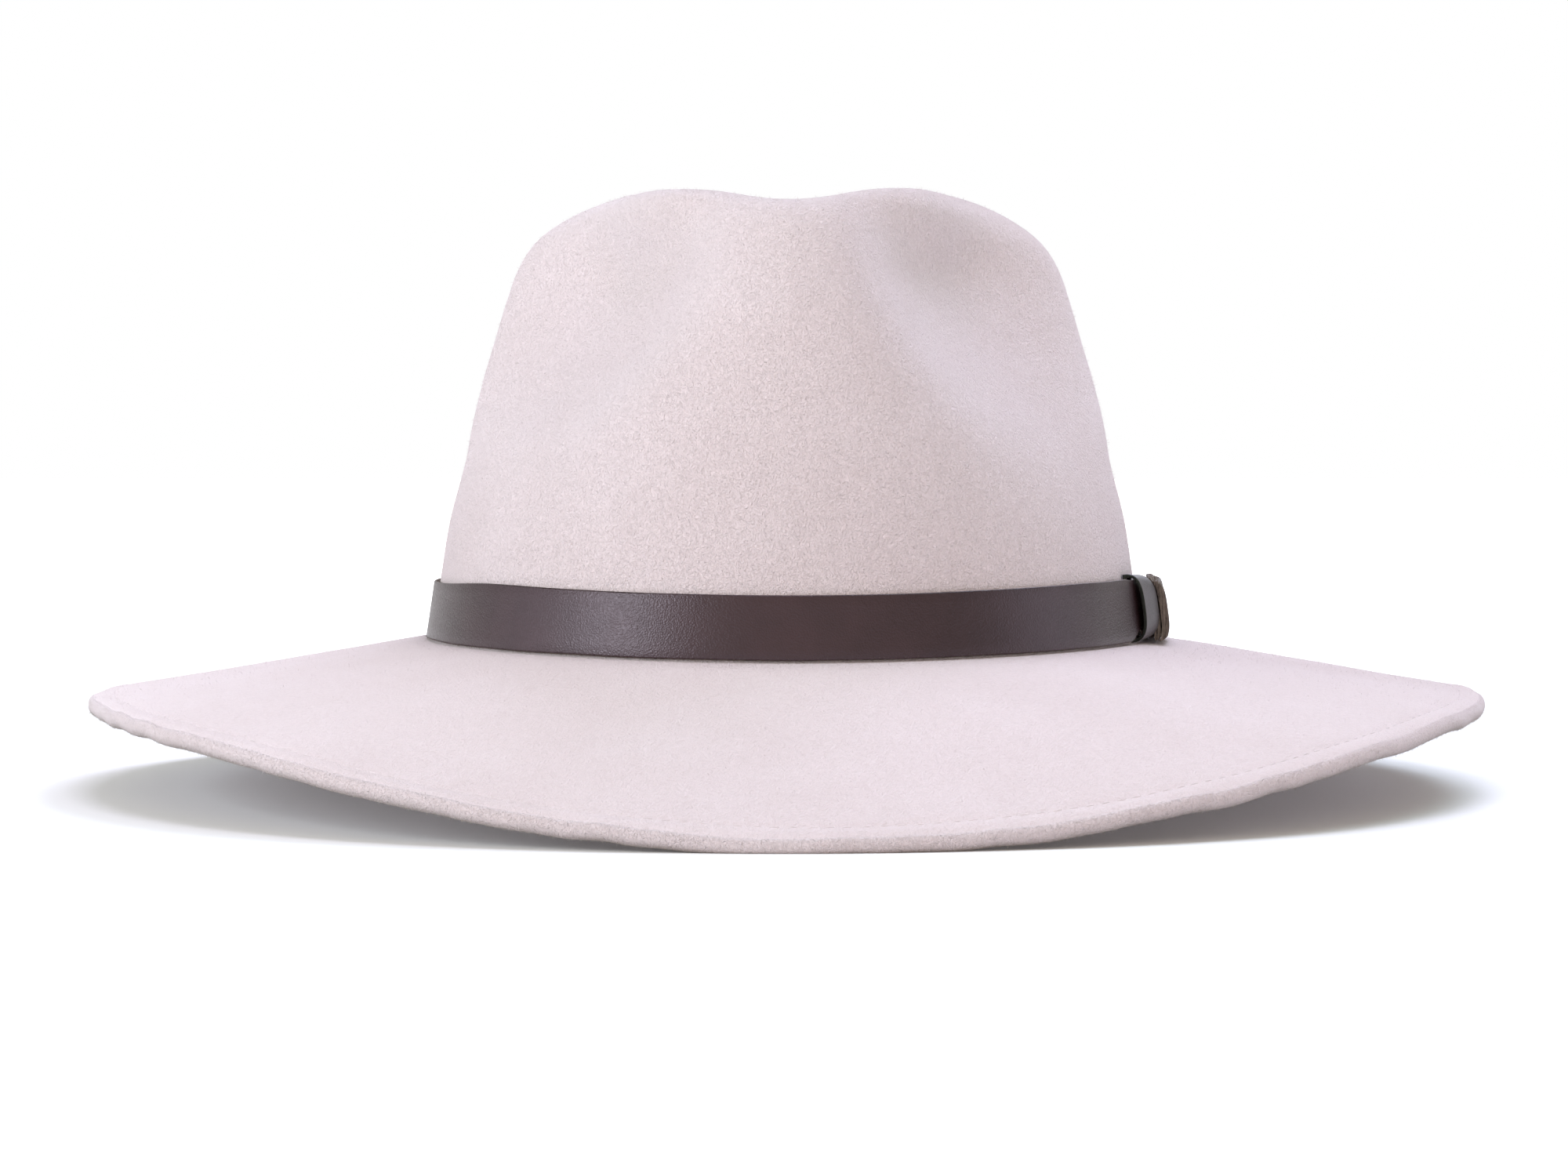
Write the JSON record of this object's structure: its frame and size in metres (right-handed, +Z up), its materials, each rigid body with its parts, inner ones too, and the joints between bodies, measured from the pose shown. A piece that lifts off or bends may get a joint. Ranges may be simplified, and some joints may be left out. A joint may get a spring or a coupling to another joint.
{
  "type": "felt hat, a fedora with a pinched crown",
  "caption": "Pale wool felt fedora with a pinched teardrop crown, a wide stitched brim and a narrow dark leather band with a keeper loop.",
  "frame": {"origin": "under the middle of the hat, on the surface that the brim rests on", "axes": "+Z up through the crown, -Y to the front of the hat, +X to the wearer's left"},
  "size_m": [0.3342, 0.3569, 0.1417],
  "materials": {
    "felt": "matte wool felt",
    "leather": "satin"
  },
  "bodies": {
    "root": {"felt_body": "felt", "hat_band": "leather", "band_tab": "leather", "keeper_loop": "leather"}
  },
  "joints": []
}
